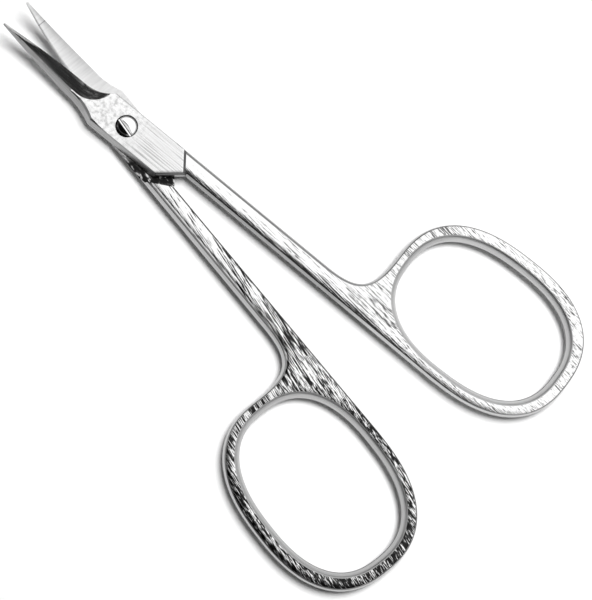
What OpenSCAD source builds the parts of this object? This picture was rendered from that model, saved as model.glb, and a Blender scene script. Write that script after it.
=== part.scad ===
// Cuticle scissors: two forged steel halves that cross at a half-lap joint and
// turn on one countersunk pivot screw. Millimetres.
// The origin is on the pivot axis, in the plane that the lap rests on.
// +X points to the tips, +Z to the screw head, and the halves lie partly open.

/* [Opening] */
// Angle between the two halves as they lie
open_angle = 11.2; // [11:0.2:80]

/* [Lap joint] */
// Thickness of each half where one lies on the other
lap_t = 1.8; // [1.6:0.05:2.2]
// Width of the lap at the mating faces
lap_w = 5.76; // [5.4:0.02:6.4]
// Running gap between the mating faces
mate_gap = 0.06; // [0.04:0.01:0.1]
// How much the lap's side walls lean in, per millimetre of height
side_draft = 0.24; // [0.1:0.01:0.3]
// From the pivot to the point of the lap plate
plate_point = 10.05; // [9.6:0.05:11]
// From the pivot to the corner of the plate on its own shank
plate_corner = 7.9; // [7.4:0.05:8.4]
// From the pivot to the corner of the plate beside the other shank
plate_far_corner = 6.65; // [6.2:0.05:7.2]
// Rise of the plate above its shank
plate_step = 0.4; // [0.25:0.05:0.6]
// Width of the bevel along the pointed end of the plate
point_bevel = 0.33; // [0.1:0.01:0.5]
// Clear space between that end and the other half's shoulder, when closed
shoulder_clear = 0.35; // [0.25:0.05:0.6]

/* [Blades] */
// From the pivot to the tips
blade_reach = 21.15; // [18:0.05:26]
// From the pivot to where the blades begin to curve upwards
curve_start = 6; // [4:0.1:7]
// Radius of that upward curve
curve_radius = 39.5; // [36:0.5:80]
// From the centre line to the cutting edge, behind the taper
edge_offset = 1.18; // [0.9:0.02:1.4]
// From the centre line to the spine, behind the taper
spine_offset = 1.68; // [1.4:0.02:1.9]
// How much the spine leans in, per millimetre of height
spine_draft = 0.31; // [0.2:0.01:0.4]
// Width of the flat left along the ridge
ridge_w = 0.24; // [0.15:0.01:0.4]
// Swell of the polished bevel between the ridge and the edge
bevel_swell = 0.03; // [0:0.01:0.1]
// Depth of the hollow ground into the inner face
hollow = 0.05; // [0.02:0.01:0.1]
// Width of the honed land along the cutting edge
hone_w = 0.2; // [0.1:0.02:0.3]
// Thickness left at the cutting edge
edge_t = 0.04; // [0.03:0.01:0.08]
// Width of the blade at its tip
tip_w = 0.3; // [0.2:0.02:0.5]
// Thickness of the blade at its tip
tip_t = 0.3; // [0.2:0.02:0.6]
// From the pivot to where the polished bevel runs out in the plate
runout_start = 4.4; // [4.2:0.05:5]
// From the pivot to where the bevel reaches the ridge
runout_end = 8; // [7.4:0.05:8.6]

/* [Shanks] */
// From the closed centre line to the inner side of the shank
shank_gap = 0.1; // [0.05:0.01:0.3]
// Roundover of the shank's outer side, from its middle to its flat face
outer_round = 0.6; // [0.3:0.02:0.7]
// Roundover of the shank's inner side, from its middle to its flat face
inner_round = 0.38; // [0.2:0.02:0.5]

/* [Finger bows] */
// From the pivot to the middle of the finger hole
bow_reach = 53.45; // [46:0.05:64]
// Length of the finger hole
hole_l = 24.6; // [21:0.2:28]
// Width of the finger hole
hole_w = 17.2; // [15:0.2:20]
// Squareness of the ovals, where 2 is an ellipse
oval_power = 2.45; // [2.2:0.05:2.7]
// Turn of the ovals away from the centre line
bow_turn = 1.6; // [0:0.1:2.5]
// Thickness of the ring on the side of the other bow
ring_inner = 2; // [1.7:0.05:2.6]
// Thickness of the ring on its outer side
ring_outer = 2.38; // [1.8:0.02:3]
// Thickness of the ring at its far end
ring_far = 2.3; // [1.8:0.05:3]
// Thickness of the ring at its near end
ring_near = 1.9; // [1.6:0.05:2.6]
// Height of the ring at its far end
ring_t = 2.35; // [2:0.05:2.8]
// How far the ring bulges past its shank, towards the other bow
bow_bulge = 0.25; // [0.1:0.01:0.3]
// Roundover of the ring's outer side, from its middle to its flat face
ring_round = 0.34; // [0.2:0.02:0.5]
// Rounding of the finger hole's rims
hole_round = 0.7; // [0.4:0.05:0.8]
// Reach along the shank of the fillet between shank and ring
neck_reach = 6.8; // [5:0.1:8]

/* [Pivot screw] */
// Diameter of the screw's shank
screw_d = 2.2; // [1.8:0.05:2.4]
// Diameter of the screw's head
head_d = 2.92; // [2.8:0.02:3.4]
// Rise of the domed head above its rim
head_dome = 0.16; // [0.08:0.02:0.3]
// Straight rim of the head above its cone
head_rim = 0.3; // [0.2:0.02:0.4]
// Width of the bevel around the head's seat
seat_bevel = 0.2; // [0.1:0.02:0.3]
// Width of the driver slot
slot_w = 0.52; // [0.4:0.02:0.7]
// Depth of the driver slot
slot_depth = 0.5; // [0.4:0.05:0.6]
// Direction of the driver slot, from the centre line of the tips
slot_turn = -10; // [-90:1:90]
// Radial running clearance of the upper half on the screw
pivot_clear = 0.03; // [0.02:0.01:0.08]
// Radial clearance of the screw in the lower half's thread
thread_clear = 0.02; // [0.01:0.01:0.05]

/* [Hidden] */
$fn = 96;
past = 1;
lap_half = lap_w / 2;
inner_z = mate_gap / 2;
plate_z = 2 * lap_t;

blade_steps = 26;
runout_steps = 14;
hollow_steps = 7;
edge_taper = 9;
edge_flare = 4;
edge_power = 1.8;
spine_taper = 8.6;
spine_flare = 4.3;
spine_power = 1.05;
flare_power = 1.7;
tip_edge = tip_w / 3;
face_bevel = 0.11;
full_w = 1.2;

// Height of the curved mating surface above its flat part. It is a surface of
// revolution about the pivot, so the inner faces meet at every opening.
function dish(x, y) = x <= 0 || norm([x, y]) <= curve_start ? 0
    : curve_radius - sqrt(pow(curve_radius, 2) - pow(norm([x, y]) - curve_start, 2));

// How far x lies along a taper that runs from start to the tip, from 0 to 1.
function along(x, start) = max(0, (x - start) / (blade_reach - start));

// The side of the cutting edge and the side of the spine, where the lap
// narrows into the blade and the blade narrows to its tip.
function edge_y(x) = x >= edge_taper
    ? (edge_offset - tip_edge) * pow(along(x, edge_taper), edge_power) - edge_offset
    : (edge_offset - lap_half)
        * pow(min(1, (edge_taper - x) / (edge_taper - edge_flare)), 3) - edge_offset;
function spine_y(x) = x >= spine_taper
    ? spine_offset - (spine_offset - tip_w + tip_edge)
        * pow(along(x, spine_taper), spine_power)
    : spine_offset + (lap_half - spine_offset)
        * pow(min(1, (spine_taper - x) / (spine_taper - spine_flare)), flare_power);

// Thickness of the blade. way is 1 for the half whose blade curves away from
// the other half, and -1 for the half whose blade curves towards it.
function blade_t(x, way) = x <= runout_end ? lap_t - way * dish(x, 0)
    : lap_t - way * dish(runout_end, 0)
        + (tip_t - lap_t + way * dish(runout_end, 0)) * along(x, runout_end);
function narrow(x) = min(1, (spine_y(x) - edge_y(x)) / full_w);
function lean(x) = side_draft + (spine_draft - side_draft)
    * min(1, max(0, (x - spine_flare) / (spine_taper - spine_flare)));
function ridge_y(x, way) = spine_y(x) - lean(x) * blade_t(x, way)
    - narrow(x) * face_bevel / 2;

// Where the bevel meets the outer face: the side wall behind the run-out, then
// the rounded run-out in the plate, then a line beside the ridge.
function bevel_y(x, way) = let (
        side = edge_y(x) + side_draft * blade_t(x, way),
        root = side_draft * lap_t - lap_half,
        top = ridge_y(runout_end, way) - ridge_w,
        u = (runout_end - x) / (runout_end - runout_start))
    x <= runout_start ? side
    : x < runout_end ? max(side, root + (top - root) * sqrt(1 - u * u))
    : ridge_y(x, way) - narrow(x) * ridge_w;

// Points round the section at x: the bevel from the edge up, the outer face,
// the spine, and the hollow inner face back to the edge.
function section(x, way) = let (
        e = edge_y(x),
        s = spine_y(x),
        w = s - e,
        b = bevel_y(x, way),
        r = ridge_y(x, way),
        top = way * dish(x, 0) + blade_t(x, way),
        foot = way * dish(x, e) + inner_z,
        drop = narrow(x) * face_bevel,
        ground = min(1, max(0, (x - runout_start) / (runout_end - runout_start)))
            * min(1, 4 - 4 * along(x, runout_end)),
        land = min(hone_w, w / 4))
    concat(
        [[x, e, foot + edge_t]],
        [for (u = [0.3, 0.6, 0.9]) let (swell = 4 * u * (1 - u) * bevel_swell * ground)
            [x, e + (b - e) * u, foot + edge_t + (top - foot - edge_t) * u + swell]],
        [[x, b, top]],
        [[x, r, top]],
        [[x, r + drop / 2, top - drop]],
        [for (k = [0:hollow_steps]) let (
                u = k / hollow_steps,
                y = s - (w - land) * u)
            [x, y, way * dish(x, y) + inner_z + hollow * ground * 4 * u * (1 - u)]],
        [[x, e, foot]]);

// Triangles between m rings of n points, and those that close an end by joining
// each point of the ring's first half to the one across from it.
function walls(m, n) = [for (i = [0:m - 2], j = [0:n - 1], k = [0, 1])
    let (a = i * n + j, b = i * n + (j + 1) % n)
    k == 0 ? [a, b, b + n] : [a, b + n, a + n]];
function strip(n) = [for (j = [0:n / 2 - 2], k = [0, 1])
    k == 0 ? [j, j + 1, n - 2 - j] : [j, n - 2 - j, n - 1 - j]];

// A solid through a stack of rings that each run clockwise seen from the last.
module stack(rings) {
    n = len(rings[0]);
    last = n * (len(rings) - 1);
    lid = strip(n);
    polyhedron(
        [for (ring = rings, p = ring) p],
        concat(
            walls(len(rings), n),
            [for (t = lid) [t[0], t[2], t[1]]],
            [for (t = lid) [t[0] + last, t[1] + last, t[2] + last]]),
        convexity = 8);
}

module blade_and_plate(way) {
    xs = concat(
        [-plate_point - past, 0, 2, 3.2],
        [for (k = [0:3]) edge_flare + (runout_start - edge_flare) * k / 4],
        [for (k = [0:runout_steps]) runout_start
            + (runout_end - runout_start) * pow(k / runout_steps, 1.4)],
        [for (k = [1:blade_steps]) runout_end + (blade_reach - runout_end) * k / blade_steps]);
    stack([for (x = xs) section(x, way)]);
}

// What lies past one leg of the plate's pointed end. side is 1 or -1.
point_drop = 0.2;
point_lean = 0.08;
module past_leg(corner, side) {
    translate([-plate_point, 0, 0])
        rotate([0, 0, side * atan2(lap_half, plate_point - corner)])
            rotate([90, 0, 90])
                linear_extrude(4 * lap_w, center = true)
                    polygon([
                        [-side * point_bevel, lap_t],
                        [0, lap_t - point_drop],
                        [side * point_lean, -past],
                        [side * lap_w, -past],
                        [side * lap_w, lap_t + past],
                        [-side * point_bevel, lap_t + past]]);
}

// Points of an oval about [along the shank, out from the centre line].
function oval(c, a, b, angle) = let (
        u = a * sign(cos(angle)) * pow(abs(cos(angle)), 2 / oval_power),
        v = b * sign(sin(angle)) * pow(abs(sin(angle)), 2 / oval_power))
    -c - [u * cos(bow_turn) - v * sin(bow_turn), u * sin(bow_turn) + v * cos(bow_turn)];
ring_a = (hole_l + ring_far + ring_near) / 2;
ring_b = (hole_w + ring_inner + ring_outer) / 2;
ring_c = [bow_reach + (ring_far - ring_near) / 2, shank_gap - bow_bulge + ring_b];
hole_c = [bow_reach, shank_gap - bow_bulge + ring_inner + hole_w / 2];
function ring_point(angle) = oval(ring_c, ring_a, ring_b, angle);

oval_step = 4;
side_angle = 96;
neck_angle = 180;
neck_steps = 14;
neck_ease = 0.8;
across_power = 1.5;
shank_root = 6.4;
shank_y = 0.02 - lap_half;
neck_end = ring_point(neck_angle);
neck_way = ring_point(neck_angle + 1) - neck_end;
neck_corner = [neck_end[0] + neck_way[0] / neck_way[1] * (shank_y - neck_end[1]), shank_y];
neck_start = neck_corner + [neck_reach, 0];

// The fillet between shank and ring, as a cubic curve from 0 to 1.
function neck(t) = let (
        b = neck_start + (neck_corner - neck_start) * neck_ease,
        c = neck_end + (neck_corner - neck_end) * neck_ease)
    pow(1 - t, 3) * neck_start + 3 * t * pow(1 - t, 2) * b
        + 3 * t * t * (1 - t) * c + pow(t, 3) * neck_end;

// Outline of shank and ring: outer side, round the ring, and a straight inner
// side whose points lie about across from those of the outer side.
ring_steps = (neck_angle - side_angle) / oval_step;
outer_side = concat(
    [[-shank_root, shank_y]],
    [for (k = [0:neck_steps]) neck(k / neck_steps)],
    [for (k = [1:ring_steps]) ring_point(neck_angle - oval_step * k)]);
round_end = [for (a = [side_angle - oval_step:-oval_step:-side_angle]) ring_point(a)];
inner_end = round_end[len(round_end) - 1];
side_end = ring_point(side_angle)[0];
inner_xs = concat(
    [for (k = [ring_steps:-1:1]) neck_end[0]
        + (side_end - neck_end[0]) * pow(k / ring_steps, across_power)],
    [for (k = [neck_steps:-1:0]) neck_start[0] + (neck_end[0] - neck_start[0]) * k / neck_steps],
    [-shank_root]);
inner_side = [for (x = inner_xs) [x, inner_end[1] + (inner_end[1] + shank_gap)
    * (x - inner_end[0]) / (inner_end[0] + shank_root)]];
paddle_outline = concat(outer_side, round_end, inner_side);
paddle_n = len(paddle_outline);

// Unit vectors that point out of a clockwise outline.
function outward(pts, i) = let (
        n = len(pts),
        d = pts[(i + 1) % n] - pts[(i + n - 1) % n])
    [-d[1], d[0]] / norm(d);

// Half of the thickness, which falls evenly from the lap to the ring's far end.
function half_t(x) = lap_t - plate_step
    + (ring_t / 2 - lap_t + plate_step) * (-shank_root - x)
        / (bow_reach + hole_l / 2 + ring_far - shank_root);

// Roundover at point i of the outline.
function roundover(i) = let (
        x = paddle_outline[i][0],
        u = min(1, max(0, (x - neck_end[0]) / (neck_start[0] - neck_end[0]))))
    i < len(outer_side) ? ring_round + (outer_round - ring_round) * u
    : i < len(outer_side) + len(round_end) ? ring_round
    : inner_round;

// Shank and ring as one plate with rounded sides. Each pair is a height, as a
// share of half the thickness, and the share of the roundover there.
side_profile = [[-1, 1], [-0.9, 0.65], [-0.55, 0.22], [0, 0], [0.55, 0.22], [0.9, 0.65], [1, 1]];
module paddle() {
    stack([for (q = side_profile)
            [for (i = [0:paddle_n - 1]) let (
                    p = paddle_outline[i] - outward(paddle_outline, i) * roundover(i) * q[1])
                [p[0], p[1], half_t(p[0]) * q[0]]]]);
}

// The finger hole with its rounded rims, as the solid to be taken away.
rim_steps = 4;
rim_reach = 80;
module finger_hole() {
    pts = [for (a = [360:-oval_step:oval_step]) oval(hole_c, hole_l / 2, hole_w / 2, a)];
    rim = concat(
        [for (k = [0:rim_steps]) let (a = rim_reach * k / rim_steps)
            [hole_round * (sin(a) - 1), hole_round * (1 - cos(a))]],
        [[past, hole_round]]);
    pairs = concat(
        [for (k = [len(rim) - 1:-1:0]) [-1, rim[k][0], rim[k][1]]],
        [for (q = rim) [1, q[0], q[1]]]);
    stack([for (q = pairs)
            [for (i = [0:len(pts) - 1]) let (p = pts[i] + outward(pts, i) * q[2])
                [p[0], p[1], q[0] * (half_t(p[0]) + q[1])]]]);
}

// Room for the other half's plate, up to the shoulder on this half's shank.
module other_lap() {
    leg = [plate_point - plate_far_corner, -lap_half] / norm([plate_point - plate_far_corner, lap_half]);
    foot = [-plate_point, 0] + shoulder_clear * [leg[1], -leg[0]];
    translate([0, 0, -lap_t - past])
        linear_extrude(lap_t + past + inner_z)
            polygon([
                foot - 2 * lap_w * leg,
                foot + 2 * lap_w * leg,
                foot + 2 * lap_w * leg + [4 * lap_w, 0],
                foot - 2 * lap_w * leg + [4 * lap_w, 0]]);
}

// One half, lying shut, with the pivot at the origin, the mating face at z = 0
// and its own lap above that face.
module half(way) {
    difference() {
        union() {
            difference() {
                blade_and_plate(way);
                past_leg(plate_corner, -1);
                past_leg(plate_far_corner, 1);
            }
            difference() {
                paddle();
                finger_hole();
                other_lap();
            }
        }
        children();
    }
}

module top_half() {
    color([0.8, 0.81, 0.82])
        translate([0, 0, lap_t])
            rotate([0, 0, open_angle / 2])
                half(1)
                    head_seat();
}

module bottom_half() {
    color([0.7, 0.71, 0.72])
        translate([0, 0, lap_t])
            rotate([180, 0, -open_angle / 2])
                half(-1)
                    thread_bore();
}

// Bore, cone and bevelled rim for the screw, above the mating face.
head_r = head_d / 2 + pivot_clear;
bore_r = screw_d / 2 + pivot_clear;
cone_foot = lap_t - head_rim - (head_d - screw_d) / 2 - pivot_clear / 2;
module head_seat() {
    rotate_extrude()
        polygon([
            [0, -past],
            [bore_r, -past],
            [bore_r, cone_foot],
            [head_r, cone_foot + head_r - bore_r],
            [head_r, lap_t - seat_bevel],
            [head_r + 2 * seat_bevel, lap_t + seat_bevel],
            [0, lap_t + seat_bevel]]);
}

end_bevel = 0.1;
module thread_bore() {
    r = screw_d / 2 + thread_clear;
    rotate_extrude()
        polygon([
            [0, -past],
            [r, -past],
            [r, lap_t - end_bevel],
            [r + 2 * end_bevel, lap_t + end_bevel],
            [0, lap_t + end_bevel]]);
}

// Slotted screw with a domed, countersunk head. Its end lies flush below.
dome_steps = 8;
module pivot_screw() {
    r = head_d / 2;
    rim_z = plate_z;
    dome_r = (r * r + head_dome * head_dome) / (2 * head_dome);
    dome_angle = asin(r / dome_r);
    color([0.42, 0.43, 0.45])
        difference() {
            rotate_extrude()
                polygon(concat(
                    [[0, 0],
                        [screw_d / 2 - end_bevel, 0],
                        [screw_d / 2, end_bevel],
                        [screw_d / 2, rim_z - head_rim - r + screw_d / 2],
                        [r, rim_z - head_rim]],
                    [for (k = [dome_steps:-1:0]) let (a = dome_angle * k / dome_steps)
                        [dome_r * sin(a), rim_z + head_dome - dome_r * (1 - cos(a))]]));
            rotate([0, 0, slot_turn])
                translate([0, 0, rim_z + head_dome])
                    cube([2 * head_d, slot_w, 2 * slot_depth], center = true);
        }
}

top_half();
bottom_half();
pivot_screw();
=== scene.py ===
import math

import bmesh
import bpy
from mathutils import Matrix, Vector
from mathutils.geometry import delaunay_2d_cdt


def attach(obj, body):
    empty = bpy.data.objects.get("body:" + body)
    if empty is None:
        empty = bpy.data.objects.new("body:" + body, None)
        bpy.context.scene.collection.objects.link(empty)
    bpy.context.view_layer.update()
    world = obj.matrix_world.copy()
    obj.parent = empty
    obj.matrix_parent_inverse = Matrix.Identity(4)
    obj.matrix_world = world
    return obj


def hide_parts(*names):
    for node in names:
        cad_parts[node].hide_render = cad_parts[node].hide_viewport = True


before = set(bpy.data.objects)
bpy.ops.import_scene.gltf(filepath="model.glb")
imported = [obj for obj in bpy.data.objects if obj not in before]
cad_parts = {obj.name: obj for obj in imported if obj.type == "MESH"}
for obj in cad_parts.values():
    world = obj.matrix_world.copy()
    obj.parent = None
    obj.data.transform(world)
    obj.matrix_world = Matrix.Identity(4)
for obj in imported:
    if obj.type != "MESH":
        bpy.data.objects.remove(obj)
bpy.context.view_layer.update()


# Upper half: one stainless forging, hardened, with its flat faces ground on a belt and its
# blade hollowed, bevelled and honed. The screw's head holds it down, and it turns on the
# screw's plain shank. Its sizes are millimetres from the pivot, before it is swung open.

PLATE_THICK = 1.8
PLATE_HALF_WIDTH = 2.88
PLATE_POINT = 10.05
SHANK_SIDE_CORNER = 7.9
FREE_SIDE_CORNER = 6.65
HALF_GAP = 0.03
HALF_OPENING = math.radians(5.6)

BLADE_REACH = 21.15
FLAT_RADIUS = 6
CURVE_RADIUS = 39.5
EDGE_START = 9
EDGE_AT_ROOT = -1.18
EDGE_AT_TIP = -0.1
SPINE_START = 8.6
SPINE_AT_ROOT = 1.68
SPINE_AT_TIP = 0.2
TIP_THICK = 0.3

WALL_LEAN = 0.24
SPINE_LEAN = 0.31
BEVEL_START = 4.4
BEVEL_FULL = 8.0
BEVEL_SLOPE = 0.8
BEVEL_SWELL = 0.12
BEVEL_STEPS = 10
RIDGE_WIDTH = 0.24
CHAMFER = 0.11
HONED_LAND = 0.04
INNER_LAND = 0.2
INNER_HOLLOW = 0.06
INNER_STEPS = 12
FULL_DETAIL_WIDTH = 1.2

FACE, WALL, PLATE, BEVEL, INNER = range(5)


def dish(x, y):
    """Rise of the curved mating surface, a surface of revolution about the pivot."""
    r = math.hypot(x, y)
    if x <= 0 or r <= FLAT_RADIUS:
        return 0.0
    return CURVE_RADIUS - math.sqrt(CURVE_RADIUS ** 2 - (r - FLAT_RADIUS) ** 2)


def share(x, start):
    """How far x has come from start to the tip, from 0 to 1."""
    return max(0.0, (x - start) / (BLADE_REACH - start))


def edge_side(x):
    if x >= EDGE_START:
        return EDGE_AT_ROOT + (EDGE_AT_TIP - EDGE_AT_ROOT) * share(x, EDGE_START) ** 1.8
    flare = min(1.0, (EDGE_START - x) / 5) ** 3
    return EDGE_AT_ROOT - (PLATE_HALF_WIDTH + EDGE_AT_ROOT) * flare


def spine_side(x):
    if x >= SPINE_START:
        return SPINE_AT_ROOT + (SPINE_AT_TIP - SPINE_AT_ROOT) * share(x, SPINE_START) ** 1.05
    flare = min(1.0, (SPINE_START - x) / (SPINE_START / 2)) ** 1.7
    return SPINE_AT_ROOT + (PLATE_HALF_WIDTH - SPINE_AT_ROOT) * flare


def blade_thickness(x, way):
    if x <= BEVEL_FULL:
        return PLATE_THICK - way * dish(x, 0)
    root = PLATE_THICK - way * dish(BEVEL_FULL, 0)
    return root + (TIP_THICK - root) * share(x, BEVEL_FULL)


def narrowing(x):
    """Shrinks the small details together with the blade toward its tip."""
    return min(1.0, (spine_side(x) - edge_side(x)) / FULL_DETAIL_WIDTH)


def ridge_side(x, way):
    half_way = SPINE_START / 2
    leaning = min(1.0, max(0.0, (x - half_way) / half_way))
    lean = WALL_LEAN + (SPINE_LEAN - WALL_LEAN) * leaning
    return spine_side(x) - lean * blade_thickness(x, way) - narrowing(x) * CHAMFER / 2


def bevel_side(x, way):
    """The bevel's upper edge: it sweeps across the plate, then keeps beside the ridge."""
    wall = edge_side(x) + WALL_LEAN * blade_thickness(x, way)
    if x <= BEVEL_START:
        return wall
    if x < BEVEL_FULL:
        root = WALL_LEAN * PLATE_THICK - PLATE_HALF_WIDTH
        top = ridge_side(BEVEL_FULL, way) - RIDGE_WIDTH
        u = (BEVEL_FULL - x) / (BEVEL_FULL - BEVEL_START)
        return max(wall, root + (top - root) * math.sqrt(1 - u * u))
    return ridge_side(x, way) - narrowing(x) * RIDGE_WIDTH


def bevel_drop(x, y, way):
    """How far the ground bevel lies below its upper edge: an even slope from that edge."""
    near = min(math.hypot(x - t, y - bevel_side(t, way))
               for t in (BEVEL_START + 0.08 * k for k in range(90)))
    return BEVEL_SLOPE * near


def wall_height(x, height, way):
    """What the bevel leaves of the upright wall on the edge's side."""
    if x <= BEVEL_START:
        return height
    if x >= BEVEL_FULL:
        return 0.01
    wall = height
    for _ in range(6):
        met = height - bevel_drop(x, edge_side(x) + WALL_LEAN * wall, way)
        wall = 0.5 * (wall + max(0.01, met))
    return wall


def blade_section(x, way):
    """Points round the blade at x: edge, bevel, flat or ridge, spine wall, inner face."""
    edge, spine = edge_side(x), spine_side(x)
    bevel, ridge = bevel_side(x, way), ridge_side(x, way)
    top = way * dish(x, 0) + blade_thickness(x, way)
    foot = way * dish(x, edge) + HALF_GAP + HONED_LAND
    height = top - foot
    wall = wall_height(x, height, way)
    wall_side = edge + WALL_LEAN * wall
    hollowed = min(1.0, max(0.0, (x - BEVEL_START) / (BEVEL_FULL - BEVEL_START)))
    hollowed *= min(1.0, 4 - 4 * share(x, BEVEL_FULL))
    points = [(edge, foot), (wall_side, foot + wall)]
    for k in range(1, BEVEL_STEPS):
        u = k / BEVEL_STEPS
        y = wall_side + (bevel - wall_side) * u
        if BEVEL_START < x < BEVEL_FULL:
            z = max(foot + wall, top - bevel_drop(x, y, way))
        else:
            z = foot + wall + (height - wall) * u + BEVEL_SWELL * u * (1 - u) * hollowed
        points.append((y, z))
    drop = narrowing(x) * CHAMFER
    shoulder = min(0.32 * max(0.0, 1 - ((x - 5.8) / 3.2) ** 2), 0.5 * (ridge - bevel))
    points += [(bevel, top), (ridge - shoulder, top), (ridge + drop * 0.3, top - drop * 0.8),
               (ridge + drop / 2, top - drop)]
    land = min(INNER_LAND, (spine - edge) / 4)
    for k in range(INNER_STEPS + 1):
        u = k / INNER_STEPS
        y = spine - (spine - edge - land) * u
        points.append((y, way * dish(x, y) + HALF_GAP + INNER_HOLLOW * u * (1 - u) * hollowed))
    points.append((edge, foot - 0.01))
    return [Vector((x, y, z)) for y, z in points]


def blade_mesh(way):
    """The loft of blade and lap plate, with its finishes told apart by face."""
    stations = [-PLATE_POINT - 1, -6, -3, 0, 1.5, 3, 3.6, 4, 4.1, 4.2, 4.3]
    stations += [BEVEL_START + (BEVEL_FULL - BEVEL_START) * (k / 30) ** 1.4 for k in range(31)]
    stations += [BEVEL_FULL + (BLADE_REACH - BEVEL_FULL) * k / 48 for k in range(1, 49)]
    bm = bmesh.new()
    rings = [[bm.verts.new(p) for p in blade_section(x, way)] for x in stations]
    for x, a, b in zip(stations, rings, rings[1:]):
        for j in range(len(a)):
            k = (j + 1) % len(a)
            face = bm.faces.new((a[j], a[k], b[k], b[j]))
            if 0 < j <= BEVEL_STEPS and x >= BEVEL_START:
                face.material_index = BEVEL
            elif j == BEVEL_STEPS + 1 and x < SPINE_START:
                face.material_index = PLATE
            elif j < BEVEL_STEPS + 5:
                face.material_index = WALL
            else:
                face.material_index = INNER
    bm.faces.new(rings[0])
    bm.faces.new(rings[-1])
    bmesh.ops.recalc_face_normals(bm, faces=bm.faces)
    return bm


def cut_by(bm, tool):
    """Takes the closed mesh tool away from bm and gives back the result."""
    objects = []
    for name, mesh in (("body", bm), ("tool", tool)):
        data = bpy.data.meshes.new(name)
        mesh.to_mesh(data)
        mesh.free()
        ob = bpy.data.objects.new(name, data)
        bpy.context.collection.objects.link(ob)
        for _ in (FACE, WALL, PLATE, BEVEL, INNER):
            data.materials.append(None)
        objects.append(ob)
    body, cutter = objects
    mod = body.modifiers.new("cut", "BOOLEAN")
    mod.object = cutter
    mod.operation = "DIFFERENCE"
    mod.solver = "EXACT"
    result = bmesh.new()
    ready = body.evaluated_get(bpy.context.evaluated_depsgraph_get())
    done = bpy.data.meshes.new_from_object(ready)
    result.from_mesh(done)
    for ob in objects:
        data = ob.data
        bpy.data.objects.remove(ob)
        bpy.data.meshes.remove(data)
    bpy.data.meshes.remove(done)
    return result


def plate_point_cut(bm):
    """Cuts the pointed end of the lap plate, with the bevel along both legs."""
    for corner, side in ((SHANK_SIDE_CORNER, -1), (FREE_SIDE_CORNER, 1)):
        angle = side * math.atan2(PLATE_HALF_WIDTH, PLATE_POINT - corner)
        place = Matrix.Translation((-PLATE_POINT, 0, 0)) @ Matrix.Rotation(angle, 4, "Z")
        section = [(-side * 0.44, PLATE_THICK), (-side * 0.24, PLATE_THICK - 0.07),
                   (side * 0.1, PLATE_THICK - 0.34), (side * 0.12, -1), (side * 6, -1),
                   (side * 6, PLATE_THICK + 1), (-side * 0.44, PLATE_THICK + 1)]
        bar = bmesh.new()
        ends = [[bar.verts.new(place @ Vector((t, u, z))) for u, z in section] for t in (-12, 12)]
        for j in range(len(section)):
            k = (j + 1) % len(section)
            face = bar.faces.new((ends[0][j], ends[0][k], ends[1][k], ends[1][j]))
            face.material_index = PLATE if j == 0 else WALL
        for end in ends:
            bar.faces.new(end)
        bmesh.ops.recalc_face_normals(bar, faces=bar.faces)
        bm = cut_by(bm, bar)
    return bm


def turned(profile, steps):
    """A closed solid turned about the pivot from (radius, height) points."""
    bm = bmesh.new()
    rings = []
    for r, z in profile:
        if r == 0:
            rings.append([bm.verts.new((0, 0, z))] * steps)
        else:
            rings.append([bm.verts.new((r * math.cos(math.tau * k / steps),
                                        r * math.sin(math.tau * k / steps), z))
                          for k in range(steps)])
    for a, b in zip(rings, rings[1:]):
        for k in range(steps):
            m = (k + 1) % steps
            corners = []
            for v in (a[k], a[m], b[m], b[k]):
                if v not in corners:
                    corners.append(v)
            bm.faces.new(corners).material_index = WALL
    bmesh.ops.recalc_face_normals(bm, faces=bm.faces)
    return bm


SHANK_START = 6.4
SHANK_HALF_THICK = 1.4
BOW_HALF_THICK = 1.175
SHANK_ROUND = 0.6
BOW_ROUND = 0.34
INSIDE_ROUND = 0.38
NECK_REACH = 6.8
RING_CENTRE = (53.65, 10.64)
RING_HALVES = (14.4, 10.79)
HOLE_CENTRE = (53.45, 10.45)
HOLE_HALVES = (12.3, 8.6)
HOLE_STEPS = 180
FAR_RIM = 2.3
PLATE_CLEARANCE = 0.35
BOW_TURN = math.radians(1.6)
OVAL_FULLNESS = 2.45


def oval(centre, halves, degrees):
    """A point on one of the bow's ovals, which are a little fuller than ellipses."""
    t = math.radians(degrees)
    u = halves[0] * math.copysign(abs(math.cos(t)) ** (2 / OVAL_FULLNESS), math.cos(t))
    v = halves[1] * math.copysign(abs(math.sin(t)) ** (2 / OVAL_FULLNESS), math.sin(t))
    return Vector((-centre[0] - u * math.cos(BOW_TURN) + v * math.sin(BOW_TURN),
                   -centre[1] - u * math.sin(BOW_TURN) - v * math.cos(BOW_TURN)))


def half_height(x):
    """Half the thickness of shank and bow, which thins evenly to the far end."""
    whole = HOLE_CENTRE[0] + HOLE_HALVES[0] + FAR_RIM - SHANK_START
    return SHANK_HALF_THICK - (SHANK_HALF_THICK - BOW_HALF_THICK) * (-SHANK_START - x) / whole


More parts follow.
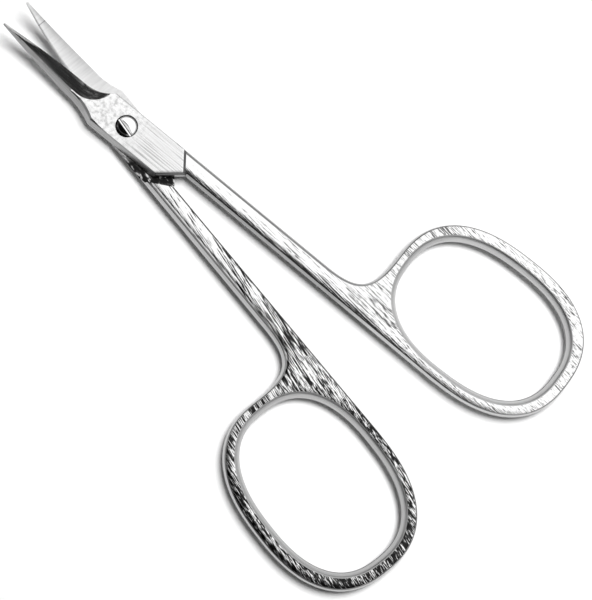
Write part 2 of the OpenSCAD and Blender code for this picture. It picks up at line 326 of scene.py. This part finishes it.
def shank_outline():
    """Points round shank and bow with the roundover of each, clockwise from above."""
    side_y = 0.02 - PLATE_HALF_WIDTH
    end = oval(RING_CENTRE, RING_HALVES, 180)
    way = oval(RING_CENTRE, RING_HALVES, 181) - end
    corner = Vector((end.x + way.x / way.y * (side_y - end.y), side_y))
    start = corner + Vector((NECK_REACH, 0))
    pull_start = start + (corner - start) * 0.8
    pull_end = end + (corner - end) * 0.8
    points = [(Vector((-SHANK_START + (start.x + SHANK_START) * k / 12, side_y)), SHANK_ROUND)
              for k in range(12)]
    for k in range(37):
        t = k / 36
        p = ((1 - t) ** 3 * start + 3 * t * (1 - t) ** 2 * pull_start
             + 3 * t * t * (1 - t) * pull_end + t ** 3 * end)
        points.append((p, SHANK_ROUND + (BOW_ROUND - SHANK_ROUND) * t))
    for angle in range(178, -96, -2):
        points.append((oval(RING_CENTRE, RING_HALVES, angle), BOW_ROUND))
    last = oval(RING_CENTRE, RING_HALVES, -96)
    for k in range(37):
        t = k / 36
        points.append((last.lerp(Vector((-SHANK_START, -0.1)), t),
                       BOW_ROUND + (INSIDE_ROUND - BOW_ROUND) * min(1, 6 * t)))
    return points


def outward(points, i):
    d = points[(i + 1) % len(points)] - points[i - 1]
    return Vector((-d.y, d.x)).normalized()


def inside(p, loop):
    """Whether p lies inside the closed loop of points."""
    odd = False
    for a, b in zip(loop, loop[1:] + loop[:1]):
        if (a.y > p.y) != (b.y > p.y) and p.x < a.x + (p.y - a.y) * (b.x - a.x) / (b.y - a.y):
            odd = not odd
    return odd


def outer_rings(bm):
    """Rings up the outer side: broken edges, then a slight crown toward the flat faces."""
    outline = shank_outline()
    points = [p for p, _ in outline]
    lower = [(-1, 1.0, 0.62), (-0.996, 1.0, 0.34), (-0.966, 1.0, 0), (-0.87, 0.56, 0),
             (-0.45, 0.2, 0), (-0.1, 0.02, 0)]
    upper = [(-h, rounded, crown) for h, rounded, crown in reversed(lower)]
    rings = []
    for h, rounded, crown in lower + [(0, 0, 0)] + upper:
        ring = []
        for i, (p, roundover) in enumerate(outline):
            p = p - outward(points, i) * (roundover * rounded + crown)
            ring.append(bm.verts.new((p.x, p.y, half_height(p.x) * h)))
        rings.append(ring)
    return rings


def hole_rings(bm):
    """Rings down the finger hole, which opens like a bell to both flat faces."""
    hole = [oval(HOLE_CENTRE, HOLE_HALVES, 360 * (1 - k / HOLE_STEPS)) for k in range(HOLE_STEPS)]
    mouth = [(-1.25, 0.0), (-0.3, 0.37), (-0.02, 0.65), (0.0, 0.8)]
    rings = []
    for side, levels in ((-1, mouth[::-1]), (1, mouth)):
        for z, out in levels:
            ring = []
            for i, p in enumerate(hole):
                p = p + outward(hole, i) * out
                ring.append(bm.verts.new((p.x, p.y, side * (half_height(p.x) + z))))
            rings.append(ring)
    return rings


def flat_face(bm, outer, inner):
    """Fills between outline and hole, over a grid that keeps the face's shading even."""
    verts = outer + inner
    flat = [Vector((v.co.x, v.co.y)) for v in verts]
    n, both = len(outer), len(verts)
    edges = [(k, (k + 1) % n) for k in range(n)]
    edges += [(n + k, n + (k + 1) % HOLE_STEPS) for k in range(HOLE_STEPS)]
    side = 1 if outer[0].co.z > 0 else -1
    step_along, step_across, clearance = 0.6, 0.7, 0.8
    for i in range(80):
        for j in range(8):
            p = Vector((-SHANK_START - 0.8 - step_along * i, -0.9 - step_across * j))
            clear = min((p - q).length for q in flat[:both]) > clearance
            if clear and inside(p, flat[:n]) and not inside(p, flat[n:both]):
                flat.append(p)
                verts.append(bm.verts.new((p.x, p.y, side * half_height(p.x))))
    out = delaunay_2d_cdt(flat, edges, [], 1, 1e-7)
    for triangle in out[2]:
        corners = [out[3][i][0] for i in triangle]
        if any(i < n or i >= both for i in corners):
            bm.faces.new([verts[i] for i in corners]).material_index = FACE


def plate_room():
    """The room that the other half's plate takes from this shank's inner side."""
    leg = Vector((PLATE_POINT - FREE_SIDE_CORNER, -PLATE_HALF_WIDTH)).normalized()
    foot = Vector((-PLATE_POINT, 0)) + PLATE_CLEARANCE * Vector((leg.y, -leg.x))
    corners = [foot - 12 * leg, foot + 12 * leg, foot + 12 * leg + Vector((24, 0)),
               foot - 12 * leg + Vector((24, 0))]
    room = bmesh.new()
    low = [room.verts.new((p.x, p.y, -3)) for p in corners]
    high = [room.verts.new((p.x, p.y, 0.05)) for p in corners]
    for k in range(4):
        room.faces.new((low[k], low[(k + 1) % 4], high[(k + 1) % 4], high[k]))
    room.faces.new(low)
    room.faces.new(high)
    for face in room.faces:
        face.material_index = WALL
    bmesh.ops.recalc_face_normals(room, faces=room.faces)
    return room


def shank_mesh():
    """Shank, neck and bow in one, with the room for the other plate cut out."""
    bm = bmesh.new()
    outer = outer_rings(bm)
    for a, b in zip(outer, outer[1:]):
        crown = abs(a[0].co.z + b[0].co.z) > 1.9 * half_height(-SHANK_START)
        for k in range(len(a)):
            m = (k + 1) % len(a)
            bm.faces.new((a[k], a[m], b[m], b[k])).material_index = FACE if crown else WALL
    inner = hole_rings(bm)
    for a, b in zip(inner, inner[1:]):
        for k in range(HOLE_STEPS):
            m = (k + 1) % HOLE_STEPS
            bm.faces.new((a[m], a[k], b[k], b[m])).material_index = WALL
    flat_face(bm, outer[0], inner[0])
    flat_face(bm, outer[-1], inner[-1])
    bmesh.ops.recalc_face_normals(bm, faces=bm.faces)
    return cut_by(bm, plate_room())


def make_half(name, way, place, bore, finishes, body, node):
    """Joins blade and shank, puts the half in its place and gives it its finishes."""
    blade = cut_by(plate_point_cut(blade_mesh(way)), turned(bore, 96))
    shank = shank_mesh()
    shank_data = bpy.data.meshes.new("shank")
    shank.to_mesh(shank_data)
    blade.from_mesh(shank_data)
    blade.transform(Matrix.Scale(0.001, 4) @ place)
    data = bpy.data.meshes.new(name)
    blade.to_mesh(data)
    shank.free()
    blade.free()
    bpy.data.meshes.remove(shank_data)
    for material in finishes:
        data.materials.append(material)
    data.set_sharp_from_angle(angle=math.radians(28))
    for poly in data.polygons:
        poly.use_smooth = poly.material_index != PLATE
    half = bpy.data.objects.new(name, data)
    bpy.context.collection.objects.link(half)
    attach(half, body)
    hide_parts(node)


class Steel:
    """Bare steel, and the short calls that build its grinding marks and join them up."""

    def __init__(self, name, line_angle, shift=(0, 0, 0)):
        self.material = bpy.data.materials.new(name)
        self.material.use_nodes = True
        self.tree = self.material.node_tree
        self.shader = self.tree.nodes["Principled BSDF"]
        self.shader.inputs["Metallic"].default_value = 1.0
        self.coords = self.add("TexCoord").outputs["Object"]
        self.along = self.add("Mapping", {"Vector": self.coords, "Location": shift,
                                          "Rotation": (0, 0, -line_angle)}).outputs[0]

    def add(self, kind, inputs=None, **settings):
        node = self.tree.nodes.new("ShaderNode" + kind)
        for key, value in settings.items():
            setattr(node, key, value)
        for key, value in (inputs or {}).items():
            if isinstance(value, bpy.types.NodeSocket):
                self.tree.links.new(value, node.inputs[key])
            else:
                node.inputs[key].default_value = value
        return node

    def marks(self, scale, detail, roughness=0.5, vector=None):
        """Noise drawn out along the grinding: scale is marks per metre in x, y and z."""
        drawn = self.add("Mapping", {"Vector": vector or self.along, "Scale": scale}).outputs[0]
        return self.add("TexNoise", {"Vector": drawn, "Scale": 1.0, "Detail": detail,
                                     "Roughness": roughness}).outputs["Fac"]

    def place(self, axis, vector=None):
        return self.add("SeparateXYZ", {0: vector or self.coords}).outputs[axis]

    def spread(self, value, low, high, start=0.3, end=0.7, easing="LINEAR"):
        """Turns start to end into low to high; without start and end, most of a noise."""
        return self.add("MapRange", {"Value": value, 1: start, 2: end, 3: low, 4: high},
                        interpolation_type=easing).outputs[0]

    def sum(self, a, b, operation="ADD"):
        return self.add("Math", {0: a, 1: b}, operation=operation).outputs[0]

    def greys(self, value, stops):
        """A ramp of greys from (place, grey) pairs."""
        node = self.add("ValToRGB", {"Fac": value})
        band = node.color_ramp
        band.elements.remove(band.elements[-1])
        for k, (at, grey) in enumerate(stops):
            stop = band.elements[0] if k == 0 else band.elements.new(at)
            stop.position = at
            stop.color = (grey, grey, grey, 1)
        return node.outputs["Color"]

    def blend(self, part, a, b, way="MIX"):
        return self.add("Mix", {0: part, 6: a, 7: b}, data_type="RGBA", blend_type=way).outputs[2]

    def finish(self, colour, roughness, relief=None, strength=1.0, depth=0.00002):
        """Joins colour, roughness and the marks' relief to the steel."""
        self.tree.links.new(colour, self.shader.inputs["Base Color"])
        if isinstance(roughness, bpy.types.NodeSocket):
            self.tree.links.new(roughness, self.shader.inputs["Roughness"])
        else:
            self.shader.inputs["Roughness"].default_value = roughness
        if relief:
            bump = self.add("Bump", {"Height": relief, "Strength": strength, "Distance": depth})
            self.tree.links.new(bump.outputs[0], self.shader.inputs["Normal"])
        return self.material


def belt_ground(name, line_angle, shank_cover, bow_cover, painted_darkest, seed):
    """Flat faces straight from the belt: bright steel under parallel scratches, their dark a
    painted reflection.

    The covers say how much of shank and bow the scratches take, from none to all.
    """
    steel = Steel(name, line_angle, (seed, seed, 0))
    long_strokes = steel.marks((1000 / 3.6, 1000 / 0.15, 100), 1.0, 0.6)
    short_strokes = steel.marks((1000 / 1.0, 1000 / 0.12, 100), 1.0, 0.6)
    patches = steel.marks((1000 / 9.0, 1000 / 1.6, 100), 2.0, 0.6)
    x = steel.place("X")
    on_bow = steel.spread(x, 0.3, 0.75, -0.036, -0.048)
    strokes = steel.add("Mix", {0: on_bow, 2: long_strokes, 3: short_strokes}).outputs[0]
    on_shank = steel.spread(x, shank_cover - 0.14, shank_cover, -0.012, -0.026)
    cover = steel.add("MapRange", {"Value": x, 1: -0.041, 2: -0.05, 3: on_shank, 4: bow_cover},
                      interpolation_type="SMOOTHSTEP").outputs[0]
    uneven = steel.sum(patches, 0.5, "SUBTRACT")
    level = steel.add("Math", {0: uneven, 1: 0.3, 2: cover}, operation="MULTIPLY_ADD").outputs[0]
    bright = steel.sum(strokes, level, "SUBTRACT")
    # Painted reflection: the scratches' darkest grey is painted near black for the dark room they
    # reflect.
    colour = steel.greys(bright, [(0.0, painted_darkest), (0.02, painted_darkest + 0.1), (0.05, painted_darkest + 0.45),
                                  (0.08, 0.96)])
    return steel.finish(colour, steel.spread(short_strokes, 0.08, 0.14), strokes, 1.0, 0.000016)


def satin_sides(name, line_angle, shank_painted_shade, bow_painted_shade, seed):
    """Sides finished on a soft wheel: satin with faint lengthwise lines, darkened as painted shade.
    """
    steel = Steel(name, line_angle, (seed, 0, 0))
    lines = steel.marks((90, 300, 5200), 3.0)
    # Painted shade: the walls' grey is set below bare steel, and apart for each half and for shank
    # and bow, for the shaded table they reflect.
    painted_wall_grey = steel.spread(steel.place("X"), shank_painted_shade, bow_painted_shade, -0.036, -0.042)
    colour = steel.sum(painted_wall_grey, steel.spread(lines, -0.06, 0.06))
    return steel.finish(colour, steel.spread(lines, 0.24, 0.36), lines, 0.2)


def lap_plate(name, line_angle, seed):
    """The lap plate: near white, lined behind the screw and faintly pitted ahead of it."""
    steel = Steel(name, line_angle, (seed, 0, 0))
    lines = steel.marks((110, 5200, 200), 3.0)
    lined = steel.greys(lines, [(0.3, 0.42), (0.42, 0.78), (0.6, 0.95)])
    pits = steel.marks((1700, 1700, 1700), 3.0)
    pitted = steel.greys(pits, [(0.34, 0.66), (0.48, 0.9), (0.58, 1.0)])
    ahead = steel.spread(steel.place("X"), 0.0, 1.0, -0.004, 0.001)
    colour = steel.blend(ahead, lined, pitted)
    return steel.finish(colour, steel.spread(lines, 0.16, 0.24), lines, 0.15)


def polished_bevel(name, line_angle):
    """The bevel, polished to a mirror after grinding."""
    steel = Steel(name, line_angle)
    lines = steel.marks((200, 3000, 3000), 2.0)
    colour = steel.greys(lines, [(0.3, 0.5), (0.7, 0.62)])
    return steel.finish(colour, steel.spread(lines, 0.06, 0.14))


def inner_face(name, line_angle):
    """The inner face: fine lines across the blade, a thin darker line across it near the tip,
    and behind the pivot painted shade with patches of painted highlight."""
    steel = Steel(name, line_angle)
    lines = steel.marks((2600, 240, 100), 3.0)
    ground = steel.greys(lines, [(0.3, 0.86), (0.7, 1.0)])
    x = steel.place("X", steel.along)
    # A thin darker line across the blade near the tip.
    near_tip_line = steel.spread(x, 0.0, 1.0, 0.0177, 0.0181)
    tip_line_mark = steel.greys(near_tip_line, [(0.0, 1.0), (0.3, 1.0), (0.5, 0.35), (0.7, 1.0)])
    pale = steel.blend(1.0, ground, tip_line_mark, "MULTIPLY")
    # Painted shade and painted highlight behind the pivot: the face is painted near black where the
    # other half's plate shades it, with bright patches for its glints.
    blotches = steel.marks((900, 2400, 100), 3.0)
    scale = steel.greys(blotches, [(0.5, 0.02), (0.58, 0.1), (0.62, 0.9)])
    behind = steel.spread(x, 0.0, 1.0, -0.001, -0.004)
    return steel.finish(steel.blend(behind, pale, scale), 0.3, lines, 0.12)


head_seat = [(0, -1), (1.13, -1), (1.13, 1.125), (1.49, 1.485), (1.49, 1.75), (1.74, 2.0), (0, 2.0)]
upper_place = Matrix.Translation((0, 0, PLATE_THICK)) @ Matrix.Rotation(HALF_OPENING, 4, "Z")
make_half("upper_half", 1, upper_place, head_seat,
          [belt_ground("upper_belt_ground", 0.0, 0.4, 0.35, 0.14, 11.0),
           satin_sides("upper_satin_sides", HALF_OPENING, 0.3, 0.5, 2.0),
           lap_plate("upper_lap_plate", HALF_OPENING, 5.0),
           polished_bevel("upper_polished_bevel", HALF_OPENING),
           inner_face("upper_inner_face", HALF_OPENING)],
          "screw_head_half", "top_half")


# Lower half: the same forging turned over, so that its hollowed face looks up. It is ground
# in the same way; its scratches are painted darker, as painted reflection, and cover more of
# its bow. Its tapped hole, chamfered at the mouth, holds the screw.

tapped_hole = [(0, -1), (1.12, -1), (1.12, 1.7), (1.32, 1.9), (0, 1.9)]
lower_place = (Matrix.Translation((0, 0, PLATE_THICK)) @ Matrix.Rotation(-HALF_OPENING, 4, "Z")
               @ Matrix.Rotation(math.pi, 4, "X"))
make_half("lower_half", -1, lower_place, tapped_hole,
          [belt_ground("lower_belt_ground", math.radians(-12), 0.46, 0.52, 0.02, 31.0),
           satin_sides("lower_satin_sides", -HALF_OPENING, 0.42, 0.45, 9.0),
           lap_plate("lower_lap_plate", -HALF_OPENING, 15.0),
           polished_bevel("lower_polished_bevel", -HALF_OPENING),
           inner_face("lower_inner_face", -HALF_OPENING)],
          "threaded_half", "bottom_half")


# Pivot screw: turned from steel with a sunk head and a low dome, slotted and polished, its
# dark and bright parts painted reflection. It screws into the lower half until its head holds
# the upper half without play, and its end is filed flush.

SLOT_TURN = math.radians(-10)


def polished_with_painted_light(name):
    """Polished steel painted dark, with painted highlight beside the slot and along its floor."""
    steel = Steel(name, SLOT_TURN)
    patches = steel.marks((1600, 1600, 1600), 2.0, vector=steel.coords)
    # Painted highlight on one side of the slot, and along the slot floor.
    beside = steel.place("Y", steel.along)
    painted_side_highlight = steel.spread(beside, -0.2, 0.3, 0.0005, 0.0)
    painted_slot_highlight = steel.spread(steel.place("Z"), 0.0, 0.9, 0.0034, 0.0033)
    painted_brightness = steel.sum(steel.sum(patches, painted_side_highlight), painted_slot_highlight)
    # The dark greys are painted reflection of the dark room, the pale ones painted highlight.
    colour = steel.greys(painted_brightness, [(0.3, 0.06), (0.45, 0.3), (0.56, 0.6), (0.66, 0.98)])
    return steel.finish(colour, steel.spread(patches, 0.04, 0.12))


def screw_tree(material):
    """Nodes for the turned screw, in millimetres: turned lengths, a domed top, a cut slot."""
    tree = bpy.data.node_groups.new("turned_screw", "GeometryNodeTree")
    tree.interface.new_socket("Geometry", in_out="INPUT", socket_type="NodeSocketGeometry")
    for name, size in (("Shank Radius", 1.1), ("Head Radius", 1.46), ("Head Rim Height", 3.32),
                       ("Dome Height", 0.09), ("Slot Width", 0.28), ("Slot Depth", 0.72),
                       ("Slot Floor", 3.26), ("Slot Offset", 0.3), ("Slot Turn", 0.0)):
        tree.interface.new_socket(name, in_out="INPUT",
                                  socket_type="NodeSocketFloat").default_value = size
    tree.interface.new_socket("Turning Steps", in_out="INPUT",
                              socket_type="NodeSocketInt").default_value = 128
    tree.interface.new_socket("Geometry", in_out="OUTPUT", socket_type="NodeSocketGeometry")
    sizes = tree.nodes.new("NodeGroupInput").outputs
    shank, head, rim = sizes["Shank Radius"], sizes["Head Radius"], sizes["Head Rim Height"]
    steps = sizes["Turning Steps"]

    def add(kind, inputs, **settings):
        node = tree.nodes.new(kind)
        for key, value in settings.items():
            setattr(node, key, value)
        for key, value in inputs.items():
            for part in value if isinstance(value, list) else [value]:
                if isinstance(part, bpy.types.NodeSocket):
                    tree.links.new(part, node.inputs[key])
                else:
                    node.inputs[key].default_value = part
        return node.outputs[0]

    def reckon(operation, a, b=0.0):
        return add("ShaderNodeMath", {0: a, 1: b}, operation=operation)

    def point(**sides):
        return add("ShaderNodeCombineXYZ", sides)

    def raised(mesh, height):
        return add("GeometryNodeTransform", {"Geometry": mesh, "Translation": point(Z=height)})

    def turned_length(below, above, low, high):
        return raised(add("GeometryNodeMeshCone", {
            "Vertices": steps, "Radius Bottom": below, "Radius Top": above,
            "Depth": reckon("SUBTRACT", high, low)}, fill_type="NONE"), low)

    filed = reckon("SUBTRACT", shank, 0.1)
    end = add("GeometryNodeFlipFaces", {"Mesh": add("GeometryNodeMeshCircle", {
        "Vertices": steps, "Radius": filed}, fill_type="NGON")})
    sink = reckon("SUBTRACT", rim, reckon("SUBTRACT", head, shank))
    profile = [(filed, 0.0), (shank, 0.1), (shank, sink), (head, rim)]
    for inset, rise in ((0, 0.06), (0.04, 0.15), (0.13, 0.24), (0.26, 0.31), (0.34, 0.345)):
        profile.append((reckon("SUBTRACT", head, inset), reckon("ADD", rim, rise)))
    lengths = [turned_length(below, above, low, high)
               for (below, low), (above, high) in zip(profile, profile[1:])]

    brow, brow_height = profile[-1]
    dome = add("GeometryNodeMeshCone", {"Vertices": steps, "Side Segments": 14, "Depth": 0.1,
                                        "Radius Bottom": brow, "Radius Top": 0.0},
               fill_type="NONE")
    split = tree.nodes.new("ShaderNodeSeparateXYZ")
    tree.links.new(add("GeometryNodeInputPosition", {}), split.inputs[0])
    x, y, z = split.outputs
    out = reckon("DIVIDE", reckon("ADD", reckon("MULTIPLY", x, x), reckon("MULTIPLY", y, y)),
                 reckon("MULTIPLY", brow, brow))
    rise = reckon("MULTIPLY", sizes["Dome Height"], reckon("SUBTRACT", 1.0, out))
    domed = point(X=x, Y=y, Z=reckon("ADD", brow_height, rise))
    dome = add("GeometryNodeSetPosition", {"Geometry": dome, "Position": domed})
    body = add("GeometryNodeMergeByDistance", {
        "Geometry": add("GeometryNodeJoinGeometry", {"Geometry": [end] + lengths + [dome]}),
        "Distance": 0.0005})

    saw = add("GeometryNodeMeshCube", {"Size": point(X=8.0, Y=sizes["Slot Width"],
                                                     Z=sizes["Slot Depth"]), "Vertices Z": 3})
    worn_lips = reckon("SUBTRACT", reckon("MULTIPLY", reckon("SIGN", y), 0.52), 0.4)
    saw = add("GeometryNodeSetPosition", {"Geometry": saw, "Offset": point(Y=worn_lips),
                                          "Selection": reckon("GREATER_THAN", z, 0.1)})
    saw = add("GeometryNodeTransform", {
        "Geometry": saw, "Translation": point(Y=sizes["Slot Offset"])})
    saw = add("GeometryNodeTransform", {
        "Geometry": saw, "Rotation": point(Z=sizes["Slot Turn"]),
        "Translation": point(Z=reckon("ADD", sizes["Slot Floor"],
                                      reckon("MULTIPLY", sizes["Slot Depth"], 0.5)))})
    cut = add("GeometryNodeMeshBoolean", {"Mesh 1": body, "Mesh 2": saw}, operation="DIFFERENCE")
    metres = add("GeometryNodeTransform", {"Geometry": cut, "Scale": (0.001, 0.001, 0.001)})
    whole = add("GeometryNodeRealizeInstances", {"Geometry": metres})
    whole = add("GeometryNodeSetMaterial", {"Geometry": whole, "Material": material})
    tree.links.new(whole, tree.nodes.new("NodeGroupOutput").inputs["Geometry"])
    return tree


screw_steel = polished_with_painted_light("dark_polished_screw")
screw = bpy.data.objects.new("slotted_screw", bpy.data.meshes.new("screw_blank"))
bpy.context.collection.objects.link(screw)
turning = screw.modifiers.new("turned_screw", "NODES")
turning.node_group = screw_tree(screw_steel)
for socket in turning.node_group.interface.items_tree:
    if socket.name == "Slot Turn":
        turning[socket.identifier] = SLOT_TURN
screw_data = bpy.data.meshes.new_from_object(
    screw.evaluated_get(bpy.context.evaluated_depsgraph_get()))
screw.modifiers.clear()
screw.data = screw_data
screw_data.materials.clear()
screw_data.materials.append(screw_steel)
for poly in screw_data.polygons:
    poly.use_smooth = True
screw_data.set_sharp_from_angle(angle=math.radians(28))
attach(screw, "threaded_half")
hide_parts("pivot_screw")


# Table: plain white and matt, with the scissors lying flat on it, so that it takes their
# soft shadow and shows white in the steel.

TABLE_HALF = 1.5
TABLE_TOP = -0.00002

table_data = bpy.data.meshes.new("table_top")
table_data.from_pydata([(x * TABLE_HALF, y * TABLE_HALF, TABLE_TOP)
                        for x, y in ((-1, -1), (1, -1), (1, 1), (-1, 1))], [], [(0, 1, 2, 3)])
table = bpy.data.objects.new("table_top", table_data)
bpy.context.collection.objects.link(table)
white_table = bpy.data.materials.new("white_table")
white_table.use_nodes = True
paint = white_table.node_tree.nodes["Principled BSDF"]
paint.inputs["Base Color"].default_value = (0.95, 0.95, 0.95, 1)
paint.inputs["Roughness"].default_value = 0.9
table_data.materials.append(white_table)


# Studio: a white background, and for the steel alone a large white softbox over the upper
# bow, with dimmer white cloths at both ends, low beside it and over the lower bow. Between
# them the dark room shows, which draws the black lines along the edges.

world = bpy.data.worlds.new("studio")
bpy.context.scene.world = world
world.use_nodes = True
tree = world.node_tree
back = tree.nodes["Background"]
back.inputs["Color"].default_value = (1, 1, 1, 1)
direction = tree.nodes.new("ShaderNodeTexCoord")
split = tree.nodes.new("ShaderNodeSeparateXYZ")
tree.links.new(direction.outputs["Generated"], split.inputs[0])
x, y, z = split.outputs


def fade(value, start, end):
    """Rises softly from 0 at start to 1 at end."""
    node = tree.nodes.new("ShaderNodeMapRange")
    node.interpolation_type = "SMOOTHSTEP"
    tree.links.new(value, node.inputs["Value"])
    node.inputs["From Min"].default_value = start
    node.inputs["From Max"].default_value = end
    return node.outputs[0]


def reckon(operation, a, b=0.0):
    node = tree.nodes.new("ShaderNodeMath")
    node.operation = operation
    for k, value in enumerate((a, b)):
        if isinstance(value, bpy.types.NodeSocket):
            tree.links.new(value, node.inputs[k])
        else:
            node.inputs[k].default_value = value
    return node.outputs[0]


softbox = reckon("MULTIPLY", fade(y, -0.02, -0.09), fade(z, 0.42, 0.6))
side_cloths = reckon("MULTIPLY", fade(reckon("ABSOLUTE", x), 0.4, 0.65), fade(z, 0.12, 0.26))
front_cloth = reckon("MULTIPLY", fade(y, -0.5, -0.8), fade(z, 0.2, 0.34))
far_cloth = reckon("MULTIPLY", fade(y, 0.18, 0.26), fade(y, 0.6, 0.5))
far_cloth = reckon("MULTIPLY", far_cloth, fade(z, 0.1, 0.3))
cloths = reckon("MULTIPLY", reckon("MAXIMUM", side_cloths, front_cloth), 0.4)
cloths = reckon("MAXIMUM", cloths, reckon("MULTIPLY", far_cloth, 0.7))
mirrored = reckon("MAXIMUM", reckon("MULTIPLY", softbox, 1.05), cloths)
mirrored = reckon("ADD", mirrored, 0.04)
rays = tree.nodes.new("ShaderNodeLightPath").outputs
strength = reckon("ADD", reckon("MULTIPLY", mirrored, rays["Is Glossy Ray"]),
                  reckon("MULTIPLY", rays["Is Diffuse Ray"], 0.1))
strength = reckon("ADD", strength, rays["Is Camera Ray"])
tree.links.new(strength, back.inputs["Strength"])

lamp_data = bpy.data.lights.new("soft_lamp", "AREA")
lamp_data.shape = "DISK"
lamp_data.size = 0.22
lamp_data.energy = 2.9
lamp = bpy.data.objects.new("soft_lamp", lamp_data)
bpy.context.collection.objects.link(lamp)
lamp.location = (-0.03, -0.12, 0.49)
lamp.rotation_mode = "QUATERNION"
lamp.rotation_quaternion = (lamp.location - Vector((-0.03, 0, 0))).to_track_quat("Z", "Y")
lamp.visible_glossy = False


# Camera: a long lens nearly overhead, leaning a little toward the lower bow and turned so
# that the tips point up and to the left of the picture.

LEAN = math.radians(9.3)
PICTURE_TURN = math.radians(44.9)
DISTANCE = 0.35

camera_data = bpy.data.cameras.new("camera")
camera_data.sensor_width = 36
camera_data.lens = 156.24
camera_data.clip_start = 0.01
camera_data.clip_end = 10
camera = bpy.data.objects.new("camera", camera_data)
bpy.context.collection.objects.link(camera)
bpy.context.scene.camera = camera
toward = Vector((0, math.sin(LEAN), math.cos(LEAN)))
across = Vector((0, math.cos(LEAN), -math.sin(LEAN)))
tipward = Vector((1, 0, 0))
right = -math.cos(PICTURE_TURN) * tipward - math.sin(PICTURE_TURN) * across
up = math.sin(PICTURE_TURN) * tipward - math.cos(PICTURE_TURN) * across
target = Vector((-0.03245, 0.0002, 0.0018))
camera.matrix_world = Matrix.Translation(target + DISTANCE * toward) @ Matrix(
    (right, up, toward)).transposed().to_4x4()

bpy.context.scene.view_settings.view_transform = "Standard"
